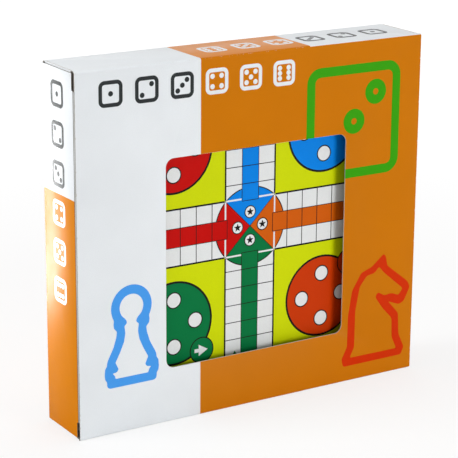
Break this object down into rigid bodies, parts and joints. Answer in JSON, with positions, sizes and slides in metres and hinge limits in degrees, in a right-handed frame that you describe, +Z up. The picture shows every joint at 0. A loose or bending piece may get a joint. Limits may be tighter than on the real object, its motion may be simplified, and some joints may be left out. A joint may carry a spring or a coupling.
{
  "type": "ludo game box",
  "caption": "Flat tuck-end carton with a square window, holding a ludo board, pawns and a die in a moulded tray.",
  "frame": {"origin": "middle of the outer face of the bottom panel, on which the carton stands", "axes": "+X towards the right-hand closure, +Y from the window side to the back panel, +Z up"},
  "size_m": [0.16, 0.027, 0.146],
  "materials": {
    "printed_card": "coated card, printed orange and white, satin",
    "plain_card": "white coated card, satin",
    "tray_plastic": "moulded, fine texture",
    "grey_board": "uncoated grey board",
    "printed_sheet": "printed paper, matt varnish",
    "red_plastic": "moulded, glossy",
    "green_plastic": "moulded, glossy",
    "blue_plastic": "moulded, glossy",
    "orange_plastic": "moulded, glossy",
    "white_plastic": "moulded, glossy, pips recessed"
  },
  "bodies": {
    "carton": {"front_panel": "printed_card", "top_panel": "printed_card", "back_panel": "printed_card", "bottom_panel": "printed_card", "glue_flap": "plain_card", "game_tray": "tray_plastic", "board_core": "grey_board", "board_face": "printed_sheet", "red_pawns": "red_plastic", "green_pawns": "green_plastic", "blue_pawns": "blue_plastic", "orange_pawns": "orange_plastic", "die": "white_plastic"},
    "left_closure": {"left_closure_panel": "printed_card"},
    "left_tuck": {"left_tuck_flap": "printed_card"},
    "left_upper_dust": {"left_upper_dust_flap": "plain_card"},
    "left_lower_dust": {"left_lower_dust_flap": "plain_card"},
    "right_closure": {"right_closure_panel": "printed_card"},
    "right_tuck": {"right_tuck_flap": "printed_card"},
    "right_upper_dust": {"right_upper_dust_flap": "plain_card"},
    "right_lower_dust": {"right_lower_dust_flap": "plain_card"}
  },
  "joints": [
    {"name": "left_closure_crease", "type": "hinge", "parent": "carton", "child": "left_closure", "pos_m": [-0.07975, 0.01325, 0.073], "axis": [0, 0, -1], "range_deg": [0, 120]},
    {"name": "left_tuck_crease", "type": "hinge", "parent": "left_closure", "child": "left_tuck", "pos_m": [-0.07975, -0.0124, 0.073], "axis": [0, 0, -1], "range_deg": [0, 12]},
    {"name": "left_upper_dust_crease", "type": "hinge", "parent": "carton", "child": "left_upper_dust", "pos_m": [-0.0791, 0.00112, 0.14575], "axis": [0, 1, 0], "range_deg": [0, 90]},
    {"name": "left_lower_dust_crease", "type": "hinge", "parent": "carton", "child": "left_lower_dust", "pos_m": [-0.0791, 0.00112, 0.00025], "axis": [0, -1, 0], "range_deg": [0, 90]},
    {"name": "right_closure_crease", "type": "hinge", "parent": "carton", "child": "right_closure", "pos_m": [0.07975, 0.01325, 0.073], "axis": [0, 0, 1], "range_deg": [0, 120]},
    {"name": "right_tuck_crease", "type": "hinge", "parent": "right_closure", "child": "right_tuck", "pos_m": [0.07975, -0.0124, 0.073], "axis": [0, 0, 1], "range_deg": [0, 12]},
    {"name": "right_upper_dust_crease", "type": "hinge", "parent": "carton", "child": "right_upper_dust", "pos_m": [0.0791, 0.00112, 0.14575], "axis": [0, -1, 0], "range_deg": [0, 90]},
    {"name": "right_lower_dust_crease", "type": "hinge", "parent": "carton", "child": "right_lower_dust", "pos_m": [0.0791, 0.00112, 0.00025], "axis": [0, 1, 0], "range_deg": [0, 90]}
  ],
  "couplings": [
    {"joint": "left_tuck_crease", "follows": "left_closure_crease", "ratio": 0.1},
    {"joint": "left_upper_dust_crease", "follows": "left_closure_crease", "ratio": 0.75},
    {"joint": "left_lower_dust_crease", "follows": "left_closure_crease", "ratio": 0.75},
    {"joint": "right_tuck_crease", "follows": "right_closure_crease", "ratio": 0.1},
    {"joint": "right_upper_dust_crease", "follows": "right_closure_crease", "ratio": 0.75},
    {"joint": "right_lower_dust_crease", "follows": "right_closure_crease", "ratio": 0.75}
  ]
}
